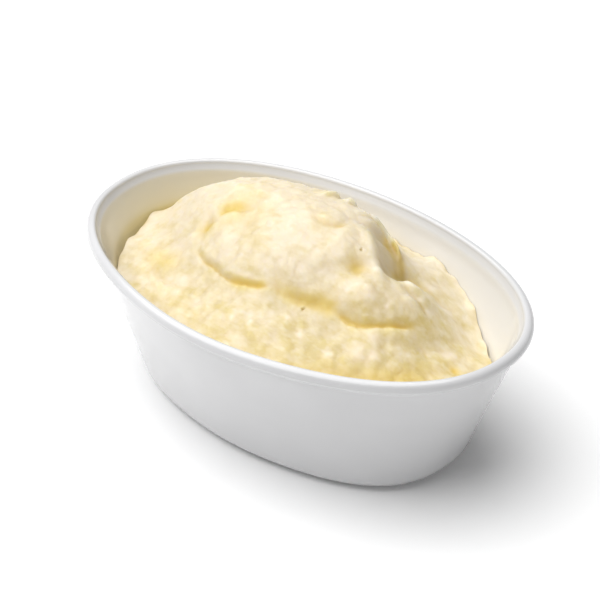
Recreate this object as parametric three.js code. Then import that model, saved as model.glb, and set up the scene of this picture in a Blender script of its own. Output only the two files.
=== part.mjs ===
// A side of mashed potato, heaped and folded with a spoon, in its oval ceramic dish.
// Millimetres, +Z up. The dish is 170 mm long, along X. The origin is on the table,
// under the middle of the dish. The folds of the heap face -Y.

import * as THREE from 'three';

const { clamp, degToRad, euclideanModulo, lerp, radToDeg } = THREE.MathUtils;

// The dish: a flared oval wall on a flat foot, with a small round lip.
const dishHeight = 55.8;
const rimHalfLength = 85;
const rimHalfWidth = 53.9;
const rimSquareness = 2.15; // exponent of the oval; 2 is a plain ellipse
const footHalfLength = 62.2;
const footHalfWidth = 36.3;
const footSquareness = 2.4;
const footRounding = 6;
const flareExponent = 1.125;
const threeLobe = 0.01; // how far the hand-made oval leans from a true one, as a share of its radius
const fourLobe = 0.0085;
const lipWidth = 3.4;
const lipHalfHeight = 1.4;
const lipProud = 0.7; // the lip stands out this far from the wall below it
const wallAtLip = 2.7;
const wallAtFoot = 4;
const floorThickness = 4.5;
const innerFillet = 8;
const dishSectors = 72;
const wallSteps = 5;
const lipSteps = 7;
const filletSteps = 3;

// The mash: where it meets the wall, its bed, and two spoonfuls heaped on the bed.
const gapToDish = 0.4;
const edgeLevel = 39.3;
const edgeAlong = -2.6; // the edge is lower at the +X end ...
const edgeAcross = 2.4; // ... and higher at the back
const edgeTwoFold = [-2.2, -1];
const edgeHumps = [
  // the edge rides up the wall, or dips; direction and spread are in degrees
  { direction: 59, spread: 17, rise: 4.4 },
  { direction: 26, spread: 9, rise: -2.4 },
  { direction: 182, spread: 15, rise: 2.6 },
];
const wallGaps = [
  // the mash has drawn back from the wall
  { direction: 27, spread: 10, width: 0.8 },
  { direction: 187, spread: 9, width: 2.4 },
];
const edgeSettle = 10; // how sharply the heap falls to the wall
const bed = { rise: 13.2, exponent: 2.3 };
const spoonfuls = [
  {
    // the small one, low at the +X end
    centre: [21, 4], left: 24, right: 25, front: 14.5, back: 19,
    turn: 22, top: 58.9, fall: 9.5, exponent: 1.15, frontPower: 1, blend: 2.5,
  },
  {
    // the large one, which makes the heap; its front falls in an almost straight slope
    centre: [-10, 12], left: 66, right: 46, front: 38, back: 35,
    turn: 0, top: 69.5, fall: 25, exponent: 1.3, frontPower: 0.64, blend: 3,
  },
];

// Marks of the spoon. Each follows a smooth line through a few points. A positive height is a
// ridge, a negative one a groove. right and left are the widths of its flanks as seen along the
// line, and lean pushes the ridge over towards its right.
const spoonMarks = [
  // the long fold: round the left end of the heap, along its front, and under the small spoonful
  {
    line: [[-24, 6.7], [-32.8, 2.1], [-37.4, -1.8]],
    height: -1.3, right: 2.6, left: 2.2, fadeIn: 0.4, fadeOut: 0.4,
  },
  {
    line: [[-37.4, -0.6], [-38.1, -6.4], [-35.4, -12]],
    height: -1.2, right: 2.8, left: 2.4, fadeIn: 0.45, fadeOut: 0.5,
  },
  {
    line: [[-36, -11.4], [-29.7, -15.2], [-18.5, -17.6], [-9, -17.5], [0.1, -15]],
    height: -1.6, right: 1.5, left: 1.5, fadeIn: 0.2, fadeOut: 0.25,
  },
  {
    line: [[-34, -10.4], [-28.6, -13.2], [-18.2, -15.2], [-9, -15.1], [-0.6, -13]],
    height: 1.0, right: 1.5, left: 4, fadeIn: 0.2, fadeOut: 0.3, lean: 0.8,
  },
  {
    line: [[-3.6, -14.2], [6.6, -13.2], [13.6, -11.2], [22.4, -9]],
    height: -1, right: 1.8, left: 2, fadeIn: 0.5, fadeOut: 0.3,
  },
  {
    line: [[20, -9], [29, -7.5], [38.3, -1.9], [43.6, 5], [47, 13]],
    height: -1.5, right: 1.5, left: 1.8, fadeIn: 0.25, fadeOut: 0.35,
  },
  // the shelf in front of the small spoonful
  {
    line: [[24, -12.5], [31, -11.5], [38.5, -7], [44, -1.5], [48, 5]],
    height: 2.6, right: 7, left: 3.6, fadeIn: 0.5, fadeOut: 0.35,
  },
  // the horseshoe ridge round the scoop in the small spoonful: its near arm and its far arm
  {
    line: [[14.4, -4.5], [8.6, 3], [8.2, 12], [7, 22]],
    height: 1, right: 2.6, left: 2.6, fadeIn: 0.4, fadeOut: 0.15,
  },
  {
    line: [[7, 22.5], [15.9, 17.1], [23.7, 11], [29.9, 6.1]],
    height: 2.2, right: 3, left: 1.6, fadeIn: 0.1, fadeOut: 0.3, lean: -0.7,
  },
  // the hollow behind the far arm, and the torn lip beyond it
  {
    line: [[8.6, 29], [14.4, 26.7], [23.2, 19.4], [28.8, 12.1]],
    height: -5, right: 4.2, left: 3, fadeIn: 0.2, fadeOut: 0.2,
  },
  {
    line: [[3, 29.5], [9, 30.9], [15, 30.2], [21.4, 25.8]],
    height: 2, right: 1.7, left: 2, fadeIn: 0.3, fadeOut: 0.35,
  },
  // the crest at the back, and the torn peaks and the notch on it
  {
    line: [[-26, 21], [-9, 28], [-2, 28.6], [10, 24.5]],
    height: 1, right: 5, left: 3, fadeIn: 0.3, fadeOut: 0.15,
  },
  {
    line: [[-12.4, 20.4], [-10.2, 27.4], [-9.8, 31]],
    height: 1.3, right: 1.8, left: 2.2, fadeIn: 0.6, fadeOut: 0.15,
  },
  {
    line: [[-3.4, 25.4], [-3.6, 28.9], [-3.2, 32]],
    height: 1.3, right: 1.8, left: 1.8, fadeIn: 0.5, fadeOut: 0.15,
  },
  {
    line: [[-7.8, 32], [-7.4, 28.4], [-6.8, 25.8]],
    height: -1.7, right: 1.7, left: 1.7, fadeIn: 0.1, fadeOut: 0.6,
  },
  // the crease under the lobe below the crest
  {
    line: [[-7.4, 10.6], [0.6, 11.4], [6.8, 19]],
    height: -1, right: 1.7, left: 1.7, fadeIn: 0.3, fadeOut: 0.3,
  },
  // at the +X end, a small ridge and the groove in front of it
  {
    line: [[29.5, 17.5], [38, 17.5], [43, 18]],
    height: 1.5, right: 1.6, left: 1.8, fadeIn: 0.3, fadeOut: 0.3,
  },
  {
    line: [[31, 13.6], [41, 13.2], [47, 12]],
    height: -1.2, right: 1.6, left: 1.6, fadeIn: 0.3, fadeOut: 0.3,
  },
  // grooves at the left end
  {
    line: [[-58, -15], [-40.3, -23.8], [-27.7, -24.7]],
    height: -1, right: 1.8, left: 1.8, fadeIn: 0.3, fadeOut: 0.3,
  },
  {
    line: [[-41, -31.6], [-27, -34]],
    height: -0.9, right: 1.6, left: 1.6, fadeIn: 0.3, fadeOut: 0.3,
  },
];
const traceSteps = 4; // straight pieces between two points of a line
const markReach = 3; // a mark is nothing beyond this many flank widths

// Round dents and bumps.
const dents = [
  { at: [19, 6], halfWidth: 3, height: -1.3 },
  { at: [13, 7], halfWidth: 5.5, height: 1.4 },
  { at: [8, 12], halfWidth: 9, height: -1 },
  { at: [24.5, -1.5], halfWidth: 5.5, height: 0.9 },
  { at: [31.5, -0.5], halfWidth: 5, height: 1.5 },
  { at: [13, 37], halfWidth: 6, height: -3 },
  { at: [26, 22.5], halfWidth: 5, height: -3.2 },
];

// Lumps of potato, coarse enough for the mesh to hold.
const lumps = [
  { size: 14, height: 1.1, seed: 3 },
  { size: 6.5, height: 0.8, seed: 2 },
];
const gridAlong = 72;
const gridAcross = 48;
const hiddenSteps = 3;

// The wall leans more at the front than at the back, so the oval is moved to keep it centred.
const ovalCentreY = rimHalfWidth * threeLobe;

function smoothStep(t) {
  const u = clamp(t, 0, 1);
  return u * u * (3 - 2 * u);
}

// Distance from the oval's centre to an oval of the given half sizes.
function ovalRadius(theta, halfLength, halfWidth, squareness) {
  const along = Math.abs(Math.cos(theta)) / halfLength;
  const across = Math.abs(Math.sin(theta)) / halfWidth;
  const plain = (along ** squareness + across ** squareness) ** (-1 / squareness);
  return plain * (1 + threeLobe * Math.sin(3 * theta) + fourLobe * Math.cos(4 * theta));
}

// The outer wall at a height, moved in by inset.
function wallRadius(theta, z, inset) {
  const share = clamp(z / dishHeight, 0, 1) ** flareExponent;
  const halfLength = lerp(footHalfLength, rimHalfLength - lipProud, share) - inset;
  const halfWidth = lerp(footHalfWidth, rimHalfWidth - lipProud, share) - inset;
  return ovalRadius(theta, halfLength, halfWidth, lerp(footSquareness, rimSquareness, share));
}

function wallThickness(z) {
  return lerp(wallAtFoot, wallAtLip, clamp(z / dishHeight, 0, 1));
}

// The dish's inside at a height, less a clearance. Its lower corner is a fillet.
function cavityRadius(theta, z, clearance) {
  const fillet = innerFillet - clearance;
  const below = clamp(fillet - (z - floorThickness - clearance), 0, fillet);
  const cornerInset = fillet - Math.sqrt(fillet ** 2 - below ** 2);
  return wallRadius(theta, z, wallThickness(z) + clearance + cornerInset);
}

// Heights of the fillet's steps, from its top to the floor.
function filletLevels(clearance) {
  const fillet = innerFillet - clearance;
  const levels = [];
  for (let step = 0; step <= filletSteps; step += 1) {
    const angle = (step / filletSteps) * (Math.PI / 2);
    levels.push(floorThickness + clearance + fillet * (1 - Math.sin(angle)));
  }
  return levels;
}

// A closed solid gathered from points and faces.
class Solid {
  constructor() {
    this.points = [];
    this.faces = [];
  }

  point(x, y, z) {
    this.points.push(x, y, z);
    return this.points.length / 3 - 1;
  }

  quad(a, b, c, d) {
    this.faces.push(a, b, c, a, c, d);
  }

  // Splits a quad along its flatter diagonal, so that slanting ridges and grooves stay smooth.
  flatterQuad(a, b, c, d) {
    const rise = (p, q) => Math.abs(this.points[3 * p + 2] - this.points[3 * q + 2]);
    if (rise(a, c) < rise(b, d)) this.quad(a, b, c, d);
    else this.quad(b, c, d, a);
  }

  // Joins two rings of equal length. The second ring lies further along the surface.
  band(ring, next) {
    for (let i = 0; i < ring.length; i += 1) {
      const j = (i + 1) % ring.length;
      this.quad(ring[i], ring[j], next[j], next[i]);
    }
  }

  // Closes a ring on a middle point. ahead says that the middle comes after the ring.
  fan(ring, middle, ahead) {
    for (let i = 0; i < ring.length; i += 1) {
      const j = (i + 1) % ring.length;
      if (ahead) this.faces.push(ring[i], ring[j], middle);
      else this.faces.push(middle, ring[j], ring[i]);
    }
  }

  mesh(name, material) {
    const geometry = new THREE.BufferGeometry();
    geometry.setAttribute('position', new THREE.Float32BufferAttribute(this.points, 3));
    geometry.setIndex(this.faces);
    geometry.computeVertexNormals();
    const mesh = new THREE.Mesh(geometry, material);
    mesh.name = name;
    return mesh;
  }
}

// The dish's section, from the foot up the outside, over the lip and down the inside.
// Each entry gives the radius for a direction, and the height.
function dishSection() {
  const section = [];
  const outerAt = (z, inset) => section.push({ z, radius: (theta) => wallRadius(theta, z, inset) });
  for (let step = 0; step <= filletSteps; step += 1) {
    const angle = (step / filletSteps) * (Math.PI / 2);
    outerAt(footRounding * (1 - Math.cos(angle)), footRounding * (1 - Math.sin(angle)));
  }
  const lipMiddle = dishHeight - lipHalfHeight;
  const lipStart = degToRad(-60);
  const underLip = lipMiddle + lipHalfHeight * Math.sin(lipStart) - 0.2;
  for (let step = 1; step <= wallSteps; step += 1) {
    outerAt(lerp(footRounding, underLip, step / wallSteps), 0);
  }
  for (let step = 0; step <= lipSteps; step += 1) {
    const angle = lerp(lipStart, Math.PI, step / lipSteps);
    const inset = (lipWidth / 2) * (1 - Math.cos(angle));
    section.push({
      z: lipMiddle + lipHalfHeight * Math.sin(angle),
      radius: (theta) =>
        ovalRadius(theta, rimHalfLength - inset, rimHalfWidth - inset, rimSquareness),
    });
  }
  const innerAt = (z) => section.push({ z, radius: (theta) => cavityRadius(theta, z, 0) });
  const levels = filletLevels(0);
  for (let step = 1; step < wallSteps; step += 1) {
    innerAt(lerp(lipMiddle, levels[0], step / wallSteps));
  }
  levels.forEach(innerAt);
  return section;
}

function makeDish(material) {
  const solid = new Solid();
  const rings = dishSection().map(({ z, radius }) => {
    const ring = [];
    for (let sector = 0; sector < dishSectors; sector += 1) {
      const theta = (sector / dishSectors) * 2 * Math.PI;
      const r = radius(theta);
      ring.push(solid.point(r * Math.cos(theta), ovalCentreY + r * Math.sin(theta), z));
    }
    return ring;
  });
  const underside = solid.point(0, ovalCentreY, 0);
  const floor = solid.point(0, ovalCentreY, floorThickness);
  solid.fan(rings[0], underside, false);
  for (let i = 1; i < rings.length; i += 1) solid.band(rings[i - 1], rings[i]);
  solid.fan(rings[rings.length - 1], floor, true);
  return solid.mesh('dish', material);
}

// A hump of height 1 round a direction.
function humpAt(theta, { direction, spread }) {
  const off = euclideanModulo(radToDeg(theta) - direction + 180, 360) - 180;
  return Math.exp(-((off / spread) ** 2));
}

// Height at which the mash meets the wall.
function edgeHeight(theta) {
  let level = edgeLevel + edgeAlong * Math.cos(theta) + edgeAcross * Math.sin(theta);
  level += edgeTwoFold[0] * Math.cos(2 * theta) + edgeTwoFold[1] * Math.sin(2 * theta);
  for (const hump of edgeHumps) level += hump.rise * humpAt(theta, hump);
  return level;
}

// Clearance between the mash's rim and the wall.
function wallGap(theta) {
  let gap = gapToDish;
  for (const place of wallGaps) gap += place.width * humpAt(theta, place);
  return gap;
}

// The higher of two heights, with the crease between them rounded by blend.
function smoothMax(a, b, blend) {
  const share = clamp(0.5 + (a - b) / (2 * blend), 0, 1);
  return lerp(b, a, share) + blend * share * (1 - share);
}

function spoonfulHeight(x, y, spoonful) {
  const turn = degToRad(spoonful.turn);
  const dx = x - spoonful.centre[0];
  const dy = y - spoonful.centre[1];
  const along = dx * Math.cos(turn) + dy * Math.sin(turn);
  const across = dy * Math.cos(turn) - dx * Math.sin(turn);
  const u = along / (along < 0 ? spoonful.left : spoonful.right);
  const v = across < 0 ? (-across / spoonful.front) ** spoonful.frontPower : across / spoonful.back;
  return spoonful.top - spoonful.fall * (u * u + v * v) ** spoonful.exponent;
}

// The line of a spoon mark as a chain of points, worked out once.
function traceMark(mark) {
  const points = mark.line.map(([x, y]) => new THREE.Vector2(x, y));
  const trace = new THREE.SplineCurve(points).getPoints(traceSteps * (points.length - 1));
  const chord = points[points.length - 1].clone().sub(points[0]).normalize();
  return { lean: 0, ...mark, trace, chord };
}

// Nearest place on a mark's line: distance, side (positive on the right) and share of the way.
function nearestOnLine(x, y, line) {
  let nearest = { distance: Infinity, side: 0, share: 0 };
  for (let i = 0; i < line.length - 1; i += 1) {
    const a = line[i];
    const run = line[i + 1].clone().sub(a);
    const t = clamp(((x - a.x) * run.x + (y - a.y) * run.y) / run.lengthSq(), 0, 1);
    const distance = Math.hypot(x - a.x - t * run.x, y - a.y - t * run.y);
    if (distance < nearest.distance) {
      const side = (x - a.x) * run.y - (y - a.y) * run.x > 0 ? distance : -distance;
      nearest = { distance, side, share: (i + t) / (line.length - 1) };
    }
  }
  return nearest;
}

// How much of a mark's height applies at a point, from 0 to 1.
function markProfile(x, y, mark) {
  const { distance, side, share } = nearestOnLine(x, y, mark.trace);
  if (distance > markReach * Math.max(mark.right, mark.left)) return 0;
  const toRight = smoothStep(0.5 + side / (2 * Math.min(mark.right, mark.left)));
  const width = lerp(mark.left, mark.right, toRight);
  const fade = smoothStep(share / mark.fadeIn) * smoothStep((1 - share) / mark.fadeOut);
  return Math.exp(-((distance / width) ** 2)) * fade;
}

// A repeatable number from 0 to 1 for each corner of the lump grid.
function cornerNoise(i, j, seed) {
  const value = Math.sin(i * 127.1 + j * 311.7 + seed * 74.7) * 43758.5453;
  return value - Math.floor(value);
}

function lumpHeight(x, y, { size, height, seed }) {
  const px = (x + 3.3 * seed) / size;
  const py = (y - 1.7 * seed) / size;
  const i = Math.floor(px);
  const j = Math.floor(py);
  const u = smoothStep(px - i);
  const v = smoothStep(py - j);
  const near = lerp(cornerNoise(i, j, seed), cornerNoise(i + 1, j, seed), u);
  const far = lerp(cornerNoise(i, j + 1, seed), cornerNoise(i + 1, j + 1, seed), u);
  return height * (lerp(near, far, v) - 0.5);
}

const tracedMarks = spoonMarks.map(traceMark);

// The top of the mash over a point. share is 0 in the middle of the dish and 1 at the wall.
function mashPoint(x, y, theta, share) {
  const edge = edgeHeight(theta);
  let z = edge + bed.rise * (1 - share ** bed.exponent);
  for (const spoonful of spoonfuls) {
    z = smoothMax(z, spoonfulHeight(x, y, spoonful), spoonful.blend);
  }
  let leanX = 0;
  let leanY = 0;
  for (const mark of tracedMarks) {
    const profile = markProfile(x, y, mark);
    z += mark.height * profile;
    leanX += mark.lean * profile * mark.chord.y;
    leanY -= mark.lean * profile * mark.chord.x;
  }
  for (const { at, halfWidth, height } of dents) {
    z += height * Math.exp(-((x - at[0]) ** 2 + (y - at[1]) ** 2) / halfWidth ** 2);
  }
  for (const lump of lumps) z += lumpHeight(x, y, lump);
  z = edge + (z - edge) * (1 - share ** edgeSettle);
  return [x + leanX, y + leanY, z];
}

// Spreads a square grid over the oval, so that its faces stay about the same size.
function gridPlace(i, j) {
  const a = (2 * i) / gridAlong - 1;
  const b = (2 * j) / gridAcross - 1;
  const u = a * Math.sqrt(1 - (b * b) / 2);
  const v = b * Math.sqrt(1 - (a * a) / 2);
  const theta = Math.atan2(v * rimHalfWidth, u * rimHalfLength);
  return { theta, share: Math.min(Math.hypot(u, v), 1) };
}

function makeMash(material) {
  const solid = new Solid();
  const grid = [];
  for (let i = 0; i <= gridAlong; i += 1) {
    grid.push([]);
    for (let j = 0; j <= gridAcross; j += 1) {
      const { theta, share } = gridPlace(i, j);
      const r = share * cavityRadius(theta, edgeHeight(theta), wallGap(theta));
      const x = r * Math.cos(theta);
      const y = ovalCentreY + r * Math.sin(theta);
      grid[i].push(solid.point(...mashPoint(x, y, theta, share)));
    }
  }
  for (let i = 0; i < gridAlong; i += 1) {
    for (let j = 0; j < gridAcross; j += 1) {
      solid.flatterQuad(grid[i][j], grid[i + 1][j], grid[i + 1][j + 1], grid[i][j + 1]);
    }
  }

  // The grid's outline, counterclockwise from above, starts the hidden underside.
  const outline = [];
  for (let i = 0; i < gridAlong; i += 1) outline.push([i, 0]);
  for (let j = 0; j < gridAcross; j += 1) outline.push([gridAlong, j]);
  for (let i = gridAlong; i > 0; i -= 1) outline.push([i, gridAcross]);
  for (let j = gridAcross; j > 0; j -= 1) outline.push([0, j]);
  const directions = outline.map(([i, j]) => gridPlace(i, j).theta);
  const levels = filletLevels(gapToDish);
  const rings = [outline.map(([i, j]) => grid[i][j])];
  const addRing = (heightAt) => {
    rings.push(directions.map((theta) => {
      const z = heightAt(theta);
      const r = cavityRadius(theta, z, gapToDish);
      return solid.point(r * Math.cos(theta), ovalCentreY + r * Math.sin(theta), z);
    }));
  };
  for (let step = 1; step < hiddenSteps; step += 1) {
    addRing((theta) => lerp(edgeHeight(theta), levels[0], step / hiddenSteps));
  }
  for (const level of levels) addRing(() => level);
  for (let i = 1; i < rings.length; i += 1) solid.band(rings[i], rings[i - 1]);
  const underside = solid.point(0, ovalCentreY, floorThickness + gapToDish);
  solid.fan(rings[rings.length - 1], underside, false);
  return solid.mesh('mash', material);
}

const glazedCeramic = new THREE.MeshStandardMaterial({
  color: 0xf2f2f0,
  roughness: 0.12,
  metalness: 0,
});
const mashedPotato = new THREE.MeshStandardMaterial({
  color: 0xf3e3b4,
  roughness: 0.55,
  metalness: 0,
});

const mashedPotatoSide = new THREE.Group();
mashedPotatoSide.add(makeDish(glazedCeramic), makeMash(mashedPotato));

export default mashedPotatoSide;
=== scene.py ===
import math

import bmesh
import bpy
import numpy as np
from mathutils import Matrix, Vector


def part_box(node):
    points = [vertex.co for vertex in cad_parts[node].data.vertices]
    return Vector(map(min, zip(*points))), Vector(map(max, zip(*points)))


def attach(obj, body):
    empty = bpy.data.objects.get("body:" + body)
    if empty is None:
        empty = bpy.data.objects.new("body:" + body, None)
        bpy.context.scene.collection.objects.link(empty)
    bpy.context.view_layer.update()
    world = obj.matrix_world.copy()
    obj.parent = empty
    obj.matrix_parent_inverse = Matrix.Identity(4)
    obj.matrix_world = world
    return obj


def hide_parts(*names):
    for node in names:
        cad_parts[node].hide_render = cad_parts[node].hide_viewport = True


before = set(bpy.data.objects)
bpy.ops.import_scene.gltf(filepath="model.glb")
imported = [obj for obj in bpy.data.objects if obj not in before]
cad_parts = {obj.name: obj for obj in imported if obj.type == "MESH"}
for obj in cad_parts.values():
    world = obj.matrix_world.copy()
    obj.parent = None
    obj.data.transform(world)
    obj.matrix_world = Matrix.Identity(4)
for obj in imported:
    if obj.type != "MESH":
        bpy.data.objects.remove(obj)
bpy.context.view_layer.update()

# The sizes below are in millimetres. Meshes are made in metres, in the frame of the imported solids.
mm = 0.001
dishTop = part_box("dish")[1]
print("frame loaded")


oval = {
    "threeLobe": 0.01,  # how far the hand-made oval leans from a true one
    "fourLobe": 0.0085,
    "rimSquareness": 2.15,  # 2 is a plain ellipse
    "footSquareness": 2.4,
    "rimHalfWidth": 53.85,
    "footHalfLength": 62.2,
    "footHalfWidth": 36.3,
    "flareExponent": 1.125,
    "endMargin": 0.03,  # the dish ends this far inside the solid's ends
}
oval["height"] = dishTop.z / mm
oval["rimHalfLength"] = dishTop.x / mm / (1 + oval["fourLobe"]) - oval["endMargin"]
oval["centreY"] = oval["rimHalfWidth"] * oval["threeLobe"]

dish = {
    "lipInside": (1.1, 1.3),  # width and drop of each half of the lip
    "lipOutside": (2.3, 2.2),
    "lipStart": -72,  # direction of the lip's curve where it leaves the wall, in degrees
    "lipStep": 0.5,  # from there down to the wall
    "lipBlend": 4.0,  # height below the lip in which its own plan fades into the wall's
    "lipProud": 0.7,
    "wallAtLip": 2.7,
    "wallAtFoot": 4.0,
    "floor": 4.5,
    "footRounding": 6.0,
    "innerFillet": 8.0,
    "insideReach": 0.5,  # what lies this close to the inner wall belongs to it
    "sectors": 240,
    "wallSteps": 36,
    "lipSteps": 18,
    "filletSteps": 8,
}


def lerp(a, b, t):
    return a + (b - a) * t


def smoothStep(t):
    u = np.clip(t, 0, 1)
    return u * u * (3 - 2 * u)


def ovalRadius(theta, halfLength, halfWidth, squareness):
    along = np.abs(np.cos(theta)) / halfLength
    across = np.abs(np.sin(theta)) / halfWidth
    plain = (along**squareness + across**squareness) ** (-1 / squareness)
    return plain * (1 + oval["threeLobe"] * np.sin(3 * theta) + oval["fourLobe"] * np.cos(4 * theta))


def wallRadius(theta, z, inset):
    share = np.clip(z / oval["height"], 0, 1) ** oval["flareExponent"]
    halfLength = lerp(oval["footHalfLength"], oval["rimHalfLength"] - dish["lipProud"], share)
    halfWidth = lerp(oval["footHalfWidth"], oval["rimHalfWidth"] - dish["lipProud"], share)
    squareness = lerp(oval["footSquareness"], oval["rimSquareness"], share)
    return ovalRadius(theta, halfLength - inset, halfWidth - inset, squareness)


def wallThickness(z):
    return lerp(dish["wallAtFoot"], dish["wallAtLip"], np.clip(z / oval["height"], 0, 1))


# inside of the dish at a height, less a clearance; its lower corner is a fillet
def cavityRadius(theta, z, clearance):
    fillet = dish["innerFillet"] - clearance
    below = np.clip(fillet - (z - dish["floor"] - clearance), 0, fillet)
    corner = fillet - np.sqrt(fillet**2 - below**2)
    return wallRadius(theta, z, wallThickness(z) + clearance + corner)


def pieceFromMesh(bm, name, material):
    mesh = bpy.data.meshes.new(name)
    bm.to_mesh(mesh)
    bm.free()
    mesh.polygons.foreach_set("use_smooth", [True] * len(mesh.polygons))
    mesh.materials.append(material)
    piece = bpy.data.objects.new(name, mesh)
    bpy.context.scene.collection.objects.link(piece)
    return piece


# missing values at the end are 0
def addAttribute(piece, name, known):
    values = np.zeros(len(piece.data.vertices), np.float32)
    values[:len(known)] = known
    piece.data.attributes.new(name, "FLOAT", "POINT").data.foreach_set("value", values)


def newMaterial(name):
    material = bpy.data.materials.new(name)
    material.use_nodes = True
    tree = material.node_tree
    return material, tree, tree.nodes["Principled BSDF"]


def addNode(tree, kind, **values):
    node = tree.nodes.new(kind)
    for name, value in values.items():
        if hasattr(node, name):
            setattr(node, name, value)
        else:
            node.inputs[name.replace("_", " ")].default_value = value
    return node


def join(tree, source, target):
    tree.links.new(source, target)


# colours are given as they look on a screen, from 0 to 255
def screenColour(r, g, b):
    def toLinear(c):
        c = c / 255
        return c / 12.92 if c <= 0.04045 else ((c + 0.055) / 1.055) ** 2.4
    return (toLinear(r), toLinear(g), toLinear(b), 1)


# mixes two colours by a factor socket
def mixColours(tree, factor, first, second):
    mix = tree.nodes.new("ShaderNodeMix")
    mix.data_type = "RGBA"
    join(tree, factor, mix.inputs["Factor"])
    for value, socket in ((first, mix.inputs["A"]), (second, mix.inputs["B"])):
        if isinstance(value, tuple):
            socket.default_value = value
        else:
            join(tree, value, socket)
    return mix.outputs["Result"]


def ramp(tree, value, low, high):
    node = addNode(tree, "ShaderNodeMapRange", interpolation_type="SMOOTHSTEP", From_Min=low, From_Max=high)
    join(tree, value, node.inputs["Value"])
    return node.outputs["Result"]


# where the mash meets the wall
mashEdge = {
    "level": 39.3,
    "along": -2.6,  # how much higher it is at the +X end
    "across": 2.4,  # and at the +Y side
    "twoFold": (-2.2, -1),  # rises and dips that come twice round, by cosine and by sine
    "humps": [(59, 17, 4.4), (26, 9, -2.4), (182, 15, 2.6)],  # direction, spread, rise
    "wallGaps": [(24, 10, 1.0), (187, 9, 3.2)],  # direction, spread, width
    "gap": 0.12,
    "wobbles": [(0.5, 17, 1), (0.35, 29, 0), (0.25, 53, 2)],  # height, waves round the dish, phase
}


# a hump of height 1 round a direction in degrees
def humpAt(theta, direction, spread):
    off = (np.degrees(theta) - direction + 180) % 360 - 180
    return np.exp(-((off / spread) ** 2))


def edgeHeight(theta):
    level = mashEdge["level"] + mashEdge["along"] * np.cos(theta) + mashEdge["across"] * np.sin(theta)
    level += mashEdge["twoFold"][0] * np.cos(2 * theta) + mashEdge["twoFold"][1] * np.sin(2 * theta)
    for direction, spread, rise in mashEdge["humps"]:
        level += rise * humpAt(theta, direction, spread)
    return level


# the edge isn't even: it creeps up and down the wall
def edgeWobble(theta):
    return sum(height * np.sin(waves * theta + phase) for height, waves, phase in mashEdge["wobbles"])


# the mash has drawn back from the wall in two places
def wallGap(theta):
    gap = mashEdge["gap"]
    for direction, spread, width in mashEdge["wallGaps"]:
        gap = gap + width * humpAt(theta, direction, spread)
    return gap


# 1 on the inner wall below the lip
def insideShare(x, y, z):
    theta = math.atan2(y - oval["centreY"], x)
    isInside = math.hypot(x, y - oval["centreY"]) < cavityRadius(theta, z, -dish["insideReach"])
    return float(isInside and z < oval["height"] - 2 * dish["lipInside"][1])


# painted shade and yellow bounce light from the mash, on the inside of the dish: all over the wall at the
# -X end, and along the mash's edge
bounceShade = {
    "direction": 168,
    "spread": 42,
    "wall": 0.65,
    "wallFade": 0.025,  # for each millimetre above the mash
    "edge": 0.1,
    "edgeAtEnd": 0.2,
    "edgeReach": 1.8,
}


def bounceShadeShare(x, y, z):
    theta = math.atan2(y - oval["centreY"], x)
    above = max(z - edgeHeight(theta), 0)
    atEnd = humpAt(theta, bounceShade["direction"], bounceShade["spread"])
    onWall = atEnd * (bounceShade["wall"] - bounceShade["wallFade"] * above)
    onEdge = (bounceShade["edge"] + bounceShade["edgeAtEnd"] * atEnd) * math.exp(-((above / bounceShade["edgeReach"]) ** 2))
    return (onWall + onEdge) * insideShare(x, y, z)


glaze = {
    "colour": (217, 217, 218),
    "thinColour": (211, 211, 212),
    "thinRange": (0.35, 0.7),
    # painted light: the inner wall's glaze is made lighter than the outer wall's, standing in for the light
    # that falls inside the dish
    "insideColour": (228, 227, 226),
    # painted shade with yellow bounce light from the mash, for the inner wall near it
    "bounceShadeColour": (206, 190, 130),
    "roughness": (0.11, 0.17),
    "refraction": 1.52,
    "patchesPerMetre": 18,
    "ripplesPerMetre": 70,
    "rippleDepth": 0.00008,
    "rippleStrength": 0.35,
}


def makeGlaze():
    material, tree, shader = newMaterial("whiteGlaze")
    place = addNode(tree, "ShaderNodeTexCoord").outputs["Object"]
    patches = addNode(tree, "ShaderNodeTexNoise", Scale=glaze["patchesPerMetre"], Detail=3)
    ripples = addNode(tree, "ShaderNodeTexNoise", Scale=glaze["ripplesPerMetre"], Detail=1)
    join(tree, place, patches.inputs["Vector"])
    join(tree, place, ripples.inputs["Vector"])
    thin = ramp(tree, patches.outputs["Fac"], *glaze["thinRange"])
    colour = mixColours(tree, thin, screenColour(*glaze["colour"]), screenColour(*glaze["thinColour"]))
    # painted light makes the inner wall lighter, then painted shade and yellow bounce light from the mash
    # tint it near the mash
    for name in ("inside", "bounceShade"):
        known = addNode(tree, "ShaderNodeAttribute", attribute_name=name)
        colour = mixColours(tree, known.outputs["Fac"], colour, screenColour(*glaze[name + "Colour"]))
    join(tree, colour, shader.inputs["Base Color"])
    smooth, dull = glaze["roughness"]
    rough = addNode(tree, "ShaderNodeMapRange", To_Min=smooth, To_Max=dull)
    join(tree, patches.outputs["Fac"], rough.inputs["Value"])
    join(tree, rough.outputs["Result"], shader.inputs["Roughness"])
    bump = addNode(tree, "ShaderNodeBump", Strength=glaze["rippleStrength"], Distance=glaze["rippleDepth"])
    join(tree, ripples.outputs["Fac"], bump.inputs["Height"])
    join(tree, bump.outputs["Normal"], shader.inputs["Normal"])
    shader.inputs["IOR"].default_value = glaze["refraction"]
    return material


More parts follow.
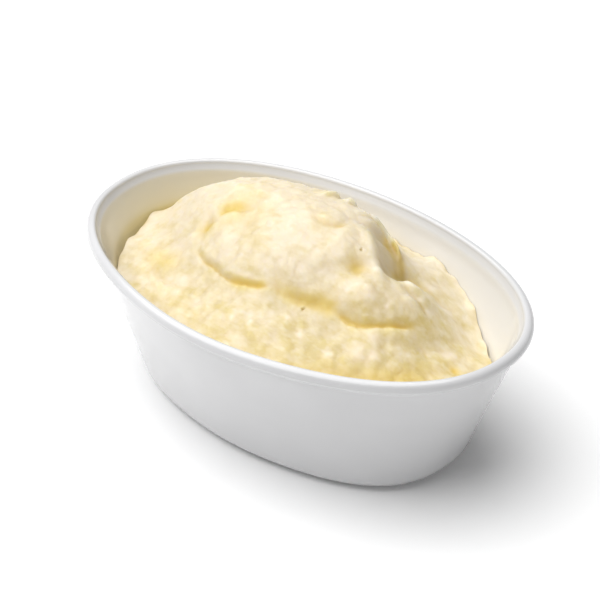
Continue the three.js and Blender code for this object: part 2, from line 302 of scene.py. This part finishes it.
# the dish's section at its +X end, as places (distance out, height)
def dishSection():
    section = []
    for angle in np.linspace(0, math.pi / 2, dish["filletSteps"] + 1):
        z = dish["footRounding"] * (1 - math.cos(angle))
        section.append((wallRadius(0, z, dish["footRounding"] * (1 - math.sin(angle))), z))
    lipStart = math.radians(dish["lipStart"])
    underLip = oval["height"] - dish["lipOutside"][1] * (1 - math.sin(lipStart)) - dish["lipStep"]
    underInnerLip = oval["height"] - dish["lipInside"][1]
    for z in np.linspace(dish["footRounding"], underLip, dish["wallSteps"] + 1)[1:]:
        section.append((wallRadius(0, z, 0), z))
    for angle in np.linspace(lipStart, math.pi, dish["lipSteps"] + 1):
        width, drop = dish["lipOutside"] if angle < math.pi / 2 else dish["lipInside"]
        inset = dish["lipOutside"][0] - width * math.cos(angle)
        out = (oval["rimHalfLength"] - inset) * (1 + oval["fourLobe"])
        section.append((out, oval["height"] - drop * (1 - math.sin(angle))))
    filletTop = dish["floor"] + dish["innerFillet"]
    for z in np.linspace(underInnerLip, filletTop, dish["wallSteps"] + 1)[1:-1]:
        section.append((cavityRadius(0, z, 0), z))
    for angle in np.linspace(0, math.pi / 2, dish["filletSteps"] + 1):
        z = filletTop - dish["innerFillet"] * math.sin(angle)
        section.append((cavityRadius(0, z, 0), z))
    return section


# the section is spun into a round dish, which is then squeezed to the oval
def makeDish(material):
    bm = bmesh.new()
    line = [bm.verts.new((out, 0, z)) for out, z in dishSection()]
    edges = [bm.edges.new(pair) for pair in zip(line, line[1:])]
    bmesh.ops.spin(
        bm, geom=[*line, *edges], cent=(0, 0, 0), axis=(0, 0, 1), angle=2 * math.pi,
        steps=dish["sectors"], use_merge=True,
    )
    footSpread = oval["footHalfLength"] - oval["footHalfWidth"]
    rimSpread = oval["rimHalfLength"] - oval["rimHalfWidth"]
    for v in bm.verts:
        belowLip = oval["height"] - dish["lipOutside"][1] - v.co.z
        share = (max(v.co.z, 0) / oval["height"]) ** oval["flareExponent"]
        share = lerp(share, 1, smoothStep(1 - belowLip / dish["lipBlend"]))
        halfLength = math.hypot(v.co.x, v.co.y) / (1 + oval["fourLobe"])
        halfWidth = halfLength - lerp(footSpread, rimSpread, share)
        theta = math.atan2(v.co.y, v.co.x)
        squareness = lerp(oval["footSquareness"], oval["rimSquareness"], share)
        r = ovalRadius(theta, halfLength, halfWidth, squareness)
        v.co = Vector((r * math.cos(theta), oval["centreY"] + r * math.sin(theta), v.co.z)) * mm
    bmesh.ops.remove_doubles(bm, verts=bm.verts, dist=0.00001)
    openEdges = [e for e in bm.edges if e.is_boundary]
    bmesh.ops.holes_fill(bm, edges=openEdges)
    bmesh.ops.recalc_face_normals(bm, faces=bm.faces)
    piece = pieceFromMesh(bm, "glazedDish", material)
    # painted light: marks the inner wall, whose glaze is made lighter as if better lit
    addAttribute(piece, "inside", np.array([insideShare(*v.co / mm) for v in piece.data.vertices]))
    # painted shade and yellow bounce light from the mash on the inner wall
    addAttribute(piece, "bounceShade", np.array([bounceShadeShare(*v.co / mm) for v in piece.data.vertices]))
    return piece


glazedDish = makeDish(makeGlaze())
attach(glazedDish, "root")
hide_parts("dish")
print("dish made")


mash = {
    "gridAlong": 348,
    "gridAcross": 236,
    "bedRise": 13.2,
    "bedExponent": 2.3,
    # how close to the wall the relief settles, the lumps end and the edge starts to wobble
    "edgeSettle": 10,
    "lumpSettle": 40,
    "wobbleSettle": 30,
    # the rim goes down the wall, to 0 at the top of the dish's inner fillet and -1 at its floor
    "skirtLevels": (0.94, 0.6, 0.3, 0, -0.34, -0.67, -1),
    "skirtGap": 0.42,
    "skirtFollow": 0.6,  # how far its top follows the gap to the wall
    "creaseRounds": 60,  # how wide the ground round a crease is taken
    "firmFrom": 0.9,  # from here to the wall, the thin mash lets less and less light through
    "firmOver": 0.08,
}

spoonfuls = [
    # the small one, low at the +X end
    {"centre": (21, 4), "left": 24, "right": 25, "front": 14.5, "back": 19,
     "turn": 22, "top": 58.9, "fall": 9.5, "exponent": 1.05, "frontPower": 0.78, "blend": 2.5},
    # the large one, which makes the heap; its front falls in an almost straight slope
    {"centre": (-10, 12), "left": 66, "right": 46, "front": 38, "back": 35,
     "turn": 0, "top": 68.85, "fall": 25, "exponent": 1.3, "frontPower": 0.64, "blend": 3},
]

# The line of the long fold: round the left end of the heap, along its front, and under the small
# spoonful.
foldBack = [(-24, 6.7), (-28.6, 4.1), (-32.8, 2.1), (-36, -0.2), (-37.4, -1.8)]
foldTurn = [(-37.4, -0.6), (-38, -3.6), (-38.1, -6.4), (-37, -9.6), (-35.4, -12)]
foldFront = [(-36, -11.4), (-34, -13.4), (-29.7, -15.2), (-24.3, -16), (-18.5, -17.6), (-12.1, -17.8),
             (-5.6, -16.7), (0.1, -15)]
foldMiddle = [(-3.6, -14.2), (-0.4, -13.8), (6.6, -13.2), (12.6, -10.8), (16, -9.4), (21, -8.7),
              (24.5, -8.5)]
foldEnd = [(20, -8.8), (23, -8.7), (26.1, -8.3), (29.3, -8.1), (32.6, -7), (35.2, -4.9), (38.3, -1.9),
           (41.5, 1.8), (43.6, 5), (44.8, 8.7), (47, 13)]

lobeLine = [(-7.4, 10.6), (-2.4, 11.2), (0.6, 11.4), (3.5, 13), (5.5, 15.7), (6.8, 19)]

# Marks of the spoon. Each has a line; a positive height is a ridge, a negative one a groove. right and
# left are the widths of its flanks as seen along the line, shift moves it to the right of the line, lean
# pushes it over towards its right, and fadeIn and fadeOut are the shares of the line in which it starts
# and ends. gold and olive are painted shade: how much the mark is darkened and yellowed where shade
# falls, and the spread is how far that painted shade goes past it.
marks = [
    # the long fold's grooves, yellowed with painted shade
    {"line": foldBack, "height": -1.3, "right": 2.4, "left": 2.0, "fadeIn": 0.4, "fadeOut": 0.4,
     "goldShade": 1.0},
    {"line": foldTurn, "height": -1.2, "right": 2.6, "left": 2.2, "fadeIn": 0.45, "fadeOut": 0.5,
     "goldShade": 0.4},
    {"line": foldFront, "height": -0.8, "right": 0.8, "left": 0.7, "fadeIn": 0.2, "fadeOut": 0.14,
     "goldShade": 0.25, "shadeSpread": 0.3},
    {"line": [(-18.5, -17.6), (-12.1, -17.8), (-5.6, -16.6), (0.3, -14.6)],
     "height": -0.25, "right": 0.9, "left": 0.7, "fadeIn": 0.35, "fadeOut": 0.25, "goldShade": 1.0},
    {"line": foldFront, "height": 0.5, "right": 1.2, "left": 4, "fadeIn": 0.2, "fadeOut": 0.3,
     "shift": -1.6, "lean": 0.3},
    {"line": foldMiddle, "height": -0.8, "right": 1.6, "left": 2.0, "fadeIn": 0.45, "fadeOut": 0.2,
     "goldShade": 0.9},
    {"line": foldEnd, "height": -0.9, "right": 1.5, "left": 1.3, "fadeIn": 0.25, "fadeOut": 0.35,
     "goldShade": 0.5},
    {"line": foldEnd, "height": -0.5, "right": 0.8, "left": 0.7, "fadeIn": 0.25, "fadeOut": 0.35,
     "goldShade": 1.0, "shadeSpread": 0.3},
    {"line": foldEnd, "height": 0, "right": 2.0, "left": 3.0, "fadeIn": 0.25, "fadeOut": 0.4,
     "shift": -1.4, "goldShade": 0.12},
    # the shelf in front of the small spoonful
    {"line": [(24, -12.5), (31, -11.5), (38.5, -7), (44, -1.5), (48, 5)],
     "height": 2.7, "right": 8.5, "left": 4.2, "fadeIn": 0.45, "fadeOut": 0.35},
    # the horseshoe ridge round the scoop: its soft near arm and its sharp far arm
    {"line": [(14.4, -4.5), (10.6, -1), (8.6, 3), (8, 7.4), (8.2, 12), (8, 17), (7, 22)],
     "height": 0.7, "right": 3.0, "left": 2.6, "fadeIn": 0.4, "fadeOut": 0.15},
    {"line": [(7, 22.5), (12, 19.6), (15.9, 17.1), (19.8, 14.1), (23.7, 11), (27, 8.4), (29.9, 6.1)],
     "height": 2.0, "right": 3, "left": 2.0, "fadeIn": 0.25, "fadeOut": 0.3, "lean": -0.3},
    # the hollow behind the far arm, and the torn lip beyond it; painted olive shade darkens the hollow and
    # its far wall
    {"line": [(8.6, 29), (14.4, 26.7), (19.2, 23.3), (23.2, 19.4), (26.6, 15.4), (28.8, 12.1)],
     "height": -3.2, "right": 4.6, "left": 3.2, "fadeIn": 0.2, "fadeOut": 0.2, "oliveShade": 0.35},
    {"line": [(3, 29.5), (9, 30.9), (14, 30.4), (18.2, 28.4), (21.4, 25.8)],
     "height": 2.6, "right": 0.7, "left": 1.0, "fadeIn": 0.2, "fadeOut": 0.35},
    {"line": [(13, 30.6), (16.5, 28.8), (21, 26), (25.3, 22.2), (28, 17.8)],
     "height": 0, "right": 2.6, "left": 1.2, "fadeIn": 0.2, "fadeOut": 0.2, "oliveShade": 0.95},
    # the crest at the back and the torn peaks on it
    {"line": [(-26, 21), (-16, 25.5), (-9, 28), (-2, 28.6), (5, 27.5), (10, 24.5)],
     "height": 1.0, "right": 5, "left": 3, "fadeIn": 0.3, "fadeOut": 0.15},
    {"line": [(-12.4, 20.4), (-11, 24.4), (-10.2, 27.4), (-9.8, 30.4)],
     "height": 1.5, "right": 0.9, "left": 2.2, "fadeIn": 0.6, "fadeOut": 0.12},
    {"line": [(-3.4, 26.4), (-3.6, 28.9), (-3.2, 31.4)],
     "height": 1.6, "right": 0.8, "left": 1.5, "fadeIn": 0.6, "fadeOut": 0.12},
    {"line": [(2.4, 24), (3.2, 26.8), (5.7, 29)],
     "height": 0.8, "right": 1.2, "left": 1.6, "fadeIn": 0.4, "fadeOut": 0.3},
    {"line": [(-7.8, 31.4), (-7.4, 28.4), (-6.8, 25.8)],
     "height": -1.6, "right": 1.2, "left": 0.9, "fadeIn": 0.1, "fadeOut": 0.6, "oliveShade": 0.4},
    {"line": [(-1, 31), (-1.4, 28.6), (-3, 26.8)],
     "height": -0.9, "right": 1.3, "left": 0.8, "fadeIn": 0.1, "fadeOut": 0.6},
    # the lobe below the crest and the crease under it
    {"line": lobeLine,
     "height": -0.8, "right": 1.7, "left": 1.4, "fadeIn": 0.3, "fadeOut": 0.3, "goldShade": 0.35},
    {"line": lobeLine,
     "height": 0.4, "right": 1.4, "left": 3.5, "fadeIn": 0.3, "fadeOut": 0.3, "shift": -2},
    # scratches on the mound
    {"line": [(-1.6, -3), (-0.4, -5.5), (1.2, -9)],
     "height": -0.28, "right": 0.6, "left": 0.6, "fadeIn": 0.3, "fadeOut": 0.3},
    {"line": [(2.6, -3.6), (3.6, -6.2), (5.2, -9.6)],
     "height": -0.28, "right": 0.6, "left": 0.6, "fadeIn": 0.3, "fadeOut": 0.3},
    # at the +X end, a small ridge and the groove in front of it
    {"line": [(29.5, 17.5), (34.3, 16.6), (38, 17.8), (43, 18)],
     "height": 1.5, "right": 1.4, "left": 1.8, "fadeIn": 0.3, "fadeOut": 0.3},
    {"line": [(31, 13.6), (36, 13.4), (41, 13.2), (47, 12)],
     "height": -1.2, "right": 1.5, "left": 1.5, "fadeIn": 0.3, "fadeOut": 0.3},
    # grooves at the left end
    {"line": [(-58, -15), (-52, -19), (-40.3, -23.8), (-27.7, -24.7)],
     "height": -0.9, "right": 1.6, "left": 1.6, "fadeIn": 0.3, "fadeOut": 0.3},
    {"line": [(-41, -31.6), (-34, -33.6), (-27, -34)],
     "height": -0.8, "right": 1.3, "left": 1.3, "fadeIn": 0.3, "fadeOut": 0.3},
    # painted shade without a form of its own: along the front wall, under the lip, and at the left end
    {"line": [(5, -39), (26.3, -31.8), (38.1, -25.7), (48.4, -18), (56.6, -7), (61, 4)],
     "height": 0, "right": 6, "left": 3.4, "fadeIn": 0.5, "fadeOut": 0.3, "goldShade": 0.8, "oliveShade": 0.3},
    {"line": [(-58, -12), (-52, -16), (-44, -17), (-36, -19)],
     "height": 0, "right": 2.6, "left": 2.6, "fadeIn": 0.4, "fadeOut": 0.4, "goldShade": 0.5},
    {"line": [(28, -4), (34, 1), (38, 7), (41, 13)],
     "height": 0, "right": 4, "left": 4, "fadeIn": 0.4, "fadeOut": 0.4, "oliveShade": 0.1},
    # two small pits, darkened with painted shade
    {"line": [(15.8, 11.4), (16.5, 11.8)],
     "height": -0.5, "right": 0.5, "left": 0.5, "fadeIn": 0.1, "fadeOut": 0.1, "oliveShade": 1.0,
     "shadeSpread": 0.2},
    {"line": [(12.2, -13.2), (13, -13)],
     "height": -0.5, "right": 0.5, "left": 0.5, "fadeIn": 0.1, "fadeOut": 0.1, "oliveShade": 1.0,
     "shadeSpread": 0.2},
]
markReach = 3  # in widths of the mark
markMargin = 2
# painted shade in gold and olive, and the pale spots
tintNames = ("goldShade", "oliveShade", "pale")

# round dents and bumps: centre, half width, height, and gold, which is painted shade yellowing the dents
dents = [
    ((19, 6), 3.0, -1.1, 0.9),
    ((12, 8), 5, 0.9, 0),
    ((15, 5), 4.5, 0.8, 0),
    ((8, 12), 9, -1.0, 0),
    ((31.5, -0.5), 5, 0.8, 0),
    ((24.5, -1.5), 5.5, 0.9, 0),
    ((61.3, 6.0), 1.8, -1.2, 1.0),
    ((-37.6, -5.2), 2.6, -0.5, 0.8),
    ((-24, -0.6), 2.4, -0.2, 0.3),
    ((-30, 3), 7, 0, 0.5),
    ((-23.5, 2), 6.5, -1.1, 0.3),
    ((49.5, -1.5), 4.5, 0.9, 0),
    ((13, 37), 6, -3, 0),
    ((26, 22.5), 5, -3.2, 0),
]

# pale spots, each on a slight bump: place, half width
paleBits = [
    ((30.7, -21.3), 1.7), ((37.7, -15), 2.2), ((42.1, -12.3), 2.2), ((38.7, -7.9), 1.9), ((55.8, 8.8), 2.4),
    ((24.3, 0.2), 2.2), ((28.3, 1), 2.4), ((22.7, -2.9), 1.6), ((37.6, 13), 1.3), ((35.5, 2.2), 1.0),
    ((31.3, 29.6), 1.6), ((39.3, 15), 1.2), ((-4.2, -29.2), 1.0), ((2.6, -27.8), 1.1), ((11.2, -18.9), 1.3),
    ((-31.9, -27.1), 1.8), ((18.5, -21.2), 1.3),
]
bitRise = 0.22
bitPaleness = 0.65

# broad swells, then round lumps: size across, height, seed
swells = [(14, 1.1, 3), (6.5, 0.6, 2), (3.1, 0.32, 5)]
lumps = [(5.2, 0.45, 13), (3.6, 0.35, 11), (2.2, 0.22, 12)]


def smoothMax(a, b, blend):
    share = np.clip(0.5 + (a - b) / (2 * blend), 0, 1)
    return lerp(b, a, share) + blend * share * (1 - share)


def spoonfulHeight(x, y, spoonful):
    turn = math.radians(spoonful["turn"])
    dx = x - spoonful["centre"][0]
    dy = y - spoonful["centre"][1]
    along = dx * math.cos(turn) + dy * math.sin(turn)
    across = dy * math.cos(turn) - dx * math.sin(turn)
    u = along / np.where(along < 0, spoonful["left"], spoonful["right"])
    front = np.maximum(-across / spoonful["front"], 0) ** spoonful["frontPower"]
    v = np.where(across < 0, front, across / spoonful["back"])
    return spoonful["top"] - spoonful["fall"] * (u * u + v * v) ** spoonful["exponent"]


# a smooth line through a few points, and its direction at each step
def softLine(points, steps=10):
    p = np.array([points[0], *points, points[-1]], float)
    t = np.linspace(0, 1, steps, endpoint=False)[:, None]
    spans = []
    for a, b, c, d in zip(p, p[1:], p[2:], p[3:]):
        spans.append(b + 0.5 * t * (c - a + t * (2 * a - 5 * b + 4 * c - d + t * (3 * (b - c) + d - a))))
    line = np.vstack([*spans, p[-1:]])
    run = np.gradient(line, axis=0)
    return line, run / np.linalg.norm(run, axis=1)[:, None]


# height and sideways push of a mark at each point, and its painted shade
def markEffect(x, y, mark):
    line, run = softLine(mark["line"])
    distance = np.full(x.shape, np.inf)
    side = np.zeros(x.shape)
    share = np.zeros(x.shape)
    rightX = np.zeros(x.shape)
    rightY = np.zeros(x.shape)
    last = len(line) - 1
    for i in range(last):
        step = line[i + 1] - line[i]
        t = np.clip(((x - line[i, 0]) * step[0] + (y - line[i, 1]) * step[1]) / (step @ step), 0, 1)
        offX = x - line[i, 0] - t * step[0]
        offY = y - line[i, 1] - t * step[1]
        d = np.hypot(offX, offY)
        near = d < distance
        distance = np.where(near, d, distance)
        cross = (x - line[i, 0]) * step[1] - (y - line[i, 1]) * step[0]
        side = np.where(near, np.where(cross > 0, d, -d), side)
        share = np.where(near, (i + t) / last, share)
        rightX = np.where(near, lerp(run[i, 1], run[i + 1, 1], t), rightX)
        rightY = np.where(near, -lerp(run[i, 0], run[i + 1, 0], t), rightY)
    side = side - mark.get("shift", 0)
    toRight = smoothStep(0.5 + side / (2 * min(mark["right"], mark["left"])))
    width = lerp(mark["left"], mark["right"], toRight)
    fade = smoothStep(share / mark["fadeIn"]) * smoothStep((1 - share) / mark["fadeOut"])
    beyond = np.sqrt(np.maximum(distance**2 - (side + mark.get("shift", 0)) ** 2, 0) + side**2)
    profile = np.exp(-((beyond / width) ** 2)) * fade
    push = mark.get("lean", 0) * profile
    tint = fade * np.exp(-((beyond / (width + mark.get("shadeSpread", 0.6))) ** 2))
    return mark["height"] * profile, push * rightX, push * rightY, tint


# a fixed value from 0 to 1 for each corner of a grid
def cornerNoise(i, j, seed):
    value = np.sin(i * 127.1 + j * 311.7 + seed * 74.7) * 43758.5453
    return value - np.floor(value)


# soft swells, up and down, between the corners of a grid; the seed also moves the grid
def swellHeight(x, y, size, height, seed):
    px = (x + 3.3 * seed) / size
    py = (y - 1.7 * seed) / size
    i, j = np.floor(px), np.floor(py)
    u, v = smoothStep(px - i), smoothStep(py - j)
    near = lerp(cornerNoise(i, j, seed), cornerNoise(i + 1, j, seed), u)
    far = lerp(cornerNoise(i, j + 1, seed), cornerNoise(i + 1, j + 1, seed), u)
    return height * (lerp(near, far, v) - 0.5)


# round lumps of uneven size, one somewhere in each cell of a grid
def lumpHeight(x, y, size, height, seed):
    i, j = np.floor(x / size), np.floor(y / size)
    total = np.zeros(x.shape)
    for di in (-1, 0, 1):
        for dj in (-1, 0, 1):
            ci, cj = i + di, j + dj
            px = (ci + cornerNoise(ci, cj, seed)) * size
            py = (cj + cornerNoise(ci, cj, seed + 1)) * size
            grown = cornerNoise(ci, cj, seed + 2)
            reach = size * (0.45 + 0.5 * grown)
            inside = np.clip(1 - ((x - px) ** 2 + (y - py) ** 2) / reach**2, 0, 1)
            total = np.maximum(total, height * grown * inside**1.5)
    return total


# top of the mash over a place; share is 0 in the middle and 1 at the wall
def mashTop(x, y, theta, share):
    edge = edgeHeight(theta)
    z = edge + mash["bedRise"] * (1 - share ** mash["bedExponent"])
    for spoonful in spoonfuls:
        z = smoothMax(z, spoonfulHeight(x, y, spoonful), spoonful["blend"])
    pushX = np.zeros(x.shape)
    pushY = np.zeros(x.shape)
    tints = {name: np.zeros(x.shape) for name in tintNames}
    for mark in marks:
        points = np.array(mark["line"])
        reach = markReach * max(mark["right"], mark["left"]) + markMargin
        low, high = points.min(0) - reach, points.max(0) + reach
        near = (x > low[0]) & (x < high[0]) & (y > low[1]) & (y < high[1])
        rise, dx, dy, tint = markEffect(x[near], y[near], mark)
        z[near] += rise
        pushX[near] += dx
        pushY[near] += dy
        for name, tinted in tints.items():
            tinted[near] = np.maximum(tinted[near], mark.get(name, 0) * tint)
    for (dentX, dentY), halfWidth, height, goldShade in dents:
        hump = np.exp(-((x - dentX) ** 2 + (y - dentY) ** 2) / halfWidth**2)
        z += height * hump
        tints["goldShade"] = np.maximum(tints["goldShade"], goldShade * hump)
    for (bitX, bitY), halfWidth in paleBits:
        hump = np.exp(-((x - bitX) ** 2 + (y - bitY) ** 2) / halfWidth**2)
        z += bitRise * hump
        tints["pale"] = np.maximum(tints["pale"], bitPaleness * hump)
    for size, height, seed in swells:
        z += swellHeight(x, y, size, height, seed)
    settled = edge + (z - edge) * (1 - share ** mash["edgeSettle"])
    for size, height, seed in lumps:
        settled += lumpHeight(x, y, size, height, seed) * (1 - share ** mash["lumpSettle"])
    settled += edgeWobble(theta) * share ** mash["wobbleSettle"]
    return x + pushX, y + pushY, settled, tints


mashLook = {
    "cream": (229, 216, 190),
    # a darker, more buttery tone, used by the random clouds and also as painted shade towards the front and
    # the +X end
    "butterAndShade": (210, 192, 136),
    "fleck": (230, 220, 198),
    # painted shade colours: gold for creases, folds and dents, olive for the hollow, the pits and the front
    # rim
    "goldShade": (222, 197, 108),
    "oliveShade": (184, 159, 92),
    "pale": (238, 225, 205),
    "drawnOut": (0.55, 0.9, 1),  # the clouds are longer this way
    "shadeWay": (0.30, -0.55, -0.78),  # painted shade: the mash is painted darker and more yellow this way, towards the front and the +X end, where its slopes turn from the light
    "shadeFrom": -0.060,
    "shadeTo": -0.002,
    "cloudsPerMetre": 190,
    "cloudShare": 0.5,  # how far a cloud moves the mash between cream and butter
    "flecksPerMetre": 400,
    "fleckShare": 0.5,
    "creaseRange": (0.15, 1.6),  # depths of a crease, in millimetres, for none and for all of its gold painted shade
    "grainPerMetre": 900,
    "grainDepth": 0.0002,
    "grainStrength": 0.4,
    "roughness": 0.42,
    "softRadius": (1.0, 0.95, 0.62),  # how far each colour of light goes into the mash
    "softScale": 0.009,
}


def makeMashMaterial():
    material, tree, shader = newMaterial("mashedPotato")
    place = addNode(tree, "ShaderNodeTexCoord").outputs["Object"]
    clouds = addNode(tree, "ShaderNodeTexNoise", Scale=mashLook["cloudsPerMetre"], Detail=3, Roughness=0.6)
    flecks = addNode(tree, "ShaderNodeTexNoise", Scale=mashLook["flecksPerMetre"], Detail=1)
    grain = addNode(tree, "ShaderNodeTexNoise", Scale=mashLook["grainPerMetre"], Detail=3, Roughness=0.6)
    drawnOut = addNode(tree, "ShaderNodeVectorMath", operation="MULTIPLY")
    join(tree, place, drawnOut.inputs[0])
    drawnOut.inputs[1].default_value = mashLook["drawnOut"]
    join(tree, drawnOut.outputs["Vector"], clouds.inputs["Vector"])
    join(tree, drawnOut.outputs["Vector"], flecks.inputs["Vector"])
    join(tree, place, grain.inputs["Vector"])
    # painted shade: the colour ramps towards the darker butter tone along the shade direction, with random
    # clouds of butter tone added
    along = addNode(tree, "ShaderNodeVectorMath", operation="DOT_PRODUCT")
    join(tree, place, along.inputs[0])
    along.inputs[1].default_value = mashLook["shadeWay"]
    low, high = mashLook["shadeFrom"], mashLook["shadeTo"]
    share = addNode(tree, "ShaderNodeMapRange", From_Min=low, From_Max=high)
    join(tree, along.outputs["Value"], share.inputs["Value"])
    most = mashLook["cloudShare"]
    cloudy = addNode(tree, "ShaderNodeMapRange", From_Min=0.3, From_Max=0.7, To_Min=-most, To_Max=most)
    join(tree, clouds.outputs["Fac"], cloudy.inputs["Value"])
    both = addNode(tree, "ShaderNodeMath", operation="ADD", use_clamp=True)
    join(tree, share.outputs["Result"], both.inputs[0])
    join(tree, cloudy.outputs["Result"], both.inputs[1])
    butterAndShade = both.outputs["Value"]
    colour = mixColours(tree, butterAndShade, screenColour(*mashLook["cream"]), screenColour(*mashLook["butterAndShade"]))
    pale = addNode(tree, "ShaderNodeMapRange", From_Min=0.5, From_Max=0.75, To_Max=mashLook["fleckShare"])
    join(tree, flecks.outputs["Fac"], pale.inputs["Value"])
    colour = mixColours(tree, pale.outputs["Result"], colour, screenColour(*mashLook["fleck"]))
    # painted shade: creases are yellowed and darkened by how deep they lie
    crease = addNode(tree, "ShaderNodeAttribute", attribute_name="crease")
    creaseShade = ramp(tree, crease.outputs["Fac"], *mashLook["creaseRange"])
    colour = mixColours(tree, creaseShade, colour, screenColour(*mashLook["goldShade"]))
    # painted shade in gold and olive along marks and in dents, then the pale spots
    for name in tintNames:
        tint = addNode(tree, "ShaderNodeAttribute", attribute_name=name)
        colour = mixColours(tree, tint.outputs["Fac"], colour, screenColour(*mashLook[name]))
    join(tree, colour, shader.inputs["Base Color"])
    strength, depth = mashLook["grainStrength"], mashLook["grainDepth"]
    bump = addNode(tree, "ShaderNodeBump", Strength=strength, Distance=depth)
    join(tree, grain.outputs["Fac"], bump.inputs["Height"])
    join(tree, bump.outputs["Normal"], shader.inputs["Normal"])
    shader.inputs["Roughness"].default_value = mashLook["roughness"]
    rim = addNode(tree, "ShaderNodeAttribute", attribute_name="rim")
    soft = addNode(tree, "ShaderNodeMapRange", To_Min=1, To_Max=0)
    join(tree, rim.outputs["Fac"], soft.inputs["Value"])
    join(tree, soft.outputs["Result"], shader.inputs["Subsurface Weight"])
    shader.inputs["Subsurface Radius"].default_value = mashLook["softRadius"]
    shader.inputs["Subsurface Scale"].default_value = mashLook["softScale"]
    return material


# how much lower each point of the grid lies than the ground round it
def creaseDepth(z, shape, rounds):
    level = z.reshape(shape).copy()
    for _ in range(rounds):
        padded = np.pad(level, 1, mode="edge")
        level = (padded[:-2, 1:-1] + padded[2:, 1:-1] + padded[1:-1, :-2] + padded[1:-1, 2:]) / 4
    return level.ravel() - z


# a square grid spread over the oval, raised to the relief, with its rim drawn down the wall
def makeMash(material):
    bm = bmesh.new()
    bmesh.ops.create_grid(bm, x_segments=mash["gridAlong"], y_segments=mash["gridAcross"], size=1)
    flat = np.array([v.co[:2] for v in bm.verts])
    a, b = flat[:, 0], flat[:, 1]
    u, v = a * np.sqrt(1 - b * b / 2), b * np.sqrt(1 - a * a / 2)
    theta = np.arctan2(v * oval["rimHalfWidth"], u * oval["rimHalfLength"])
    share = np.minimum(np.hypot(u, v), 1)
    r = share * cavityRadius(theta, edgeHeight(theta) + edgeWobble(theta), wallGap(theta))
    x, y, z, tints = mashTop(r * np.cos(theta), oval["centreY"] + r * np.sin(theta), theta, share)

    # nothing passes through the wall
    turned = np.arctan2(y - oval["centreY"], x)
    reach = np.hypot(x, y - oval["centreY"])
    kept = np.minimum(reach, cavityRadius(turned, z, mashEdge["gap"])) / np.maximum(reach, 1e-6)
    x, y = x * kept, oval["centreY"] + (y - oval["centreY"]) * kept
    for vert, place in zip(bm.verts, zip(x * mm, y * mm, z * mm)):
        vert.co = place
    crease = creaseDepth(z, (mash["gridAcross"] + 1, mash["gridAlong"] + 1), mash["creaseRounds"])

    # the rim is extruded down the wall and over the fillet, and closed on the floor
    rim = [e for e in bm.edges if e.is_boundary]
    filletTop = dish["floor"] + dish["innerFillet"]
    for level in mash["skirtLevels"]:
        made = bmesh.ops.extrude_edge_only(bm, edges=rim)["geom"]
        for vert in (g for g in made if isinstance(g, bmesh.types.BMVert)):
            angle = math.atan2(vert.co.y - oval["centreY"] * mm, vert.co.x)
            topGap = lerp(mashEdge["gap"], wallGap(angle), mash["skirtFollow"])
            clearance = lerp(mash["skirtGap"], topGap, max(level, 0))
            depth = lerp(filletTop, edgeHeight(angle), level)
            if level < 0:
                depth = filletTop + (dish["innerFillet"] - clearance) * math.sin(level * math.pi / 2)
            radius = cavityRadius(angle, depth, clearance)
            along, across = radius * math.cos(angle), oval["centreY"] + radius * math.sin(angle)
            vert.co = Vector((along, across, depth)) * mm
        rim = [g for g in made if isinstance(g, bmesh.types.BMEdge)]
    bmesh.ops.holes_fill(bm, edges=rim)
    bmesh.ops.recalc_face_normals(bm, faces=bm.faces)
    piece = pieceFromMesh(bm, "mashHeap", material)
    rimShare = smoothStep((share - mash["firmFrom"]) / mash["firmOver"])
    for name, values in {"crease": crease, "rim": rimShare, **tints}.items():
        addAttribute(piece, name, values)
    return piece


mashHeap = makeMash(makeMashMaterial())
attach(mashHeap, "root")
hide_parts("mash")
print("mash made", len(mashHeap.data.polygons), "faces")


studio = {
    "floorSize": 3.0,
    "floorWhite": 0.97,
    "floorRoughness": 0.9,
    "floorSheen": 0.1,
    "floorGlow": 0.05,
    "world": 0.19,
    "keyFrom": (-0.262, -0.147, 0.954),
    "keyDistance": 1.3,
    "keySize": 1.9,
    "keyPower": 28.7,
}
view = {
    "azimuth": 41.93,
    "elevation": 33.31,
    "distance": 0.9001,
    "aim": (-0.005743, 0.005852, 0.036466),
    "lens": 159.65,
}


def makeStudio():
    bm = bmesh.new()
    bmesh.ops.create_grid(bm, x_segments=1, y_segments=1, size=studio["floorSize"] / 2)
    material, _, shader = newMaterial("paleFloor")
    white = studio["floorWhite"]
    shader.inputs["Base Color"].default_value = (white, white, white, 1)
    shader.inputs["Roughness"].default_value = studio["floorRoughness"]
    shader.inputs["Specular IOR Level"].default_value = studio["floorSheen"]
    shader.inputs["Emission Color"].default_value = (1, 1, 1, 1)
    shader.inputs["Emission Strength"].default_value = studio["floorGlow"]
    pieceFromMesh(bm, "floor", material)

    world = bpy.data.worlds.new("paleRoom")
    world.use_nodes = True
    world.node_tree.nodes["Background"].inputs["Color"].default_value = (1, 1, 1, 1)
    world.node_tree.nodes["Background"].inputs["Strength"].default_value = studio["world"]
    bpy.context.scene.world = world

    key = bpy.data.lights.new("key", "AREA")
    key.shape = "DISK"
    key.size = studio["keySize"]
    key.energy = studio["keyPower"]
    lamp = bpy.data.objects.new("key", key)
    way = Vector(studio["keyFrom"]).normalized()
    lamp.location = way * studio["keyDistance"]
    lamp.rotation_mode = "QUATERNION"
    lamp.rotation_quaternion = (-way).to_track_quat("-Z", "Y")
    bpy.context.scene.collection.objects.link(lamp)


def makeCamera():
    camera = bpy.data.cameras.new("camera")
    camera.lens = view["lens"]
    camera.sensor_width = 36
    seen = bpy.data.objects.new("camera", camera)
    azimuth, elevation = math.radians(view["azimuth"]), math.radians(view["elevation"])
    back = Vector((
        math.sin(azimuth) * math.cos(elevation),
        -math.cos(azimuth) * math.cos(elevation),
        math.sin(elevation),
    ))
    seen.location = Vector(view["aim"]) + back * view["distance"]
    seen.rotation_mode = "QUATERNION"
    seen.rotation_quaternion = (-back).to_track_quat("-Z", "Y")
    bpy.context.scene.collection.objects.link(seen)
    bpy.context.scene.camera = seen


makeStudio()
makeCamera()
bpy.context.scene.view_settings.view_transform = "Standard"
print("studio set")
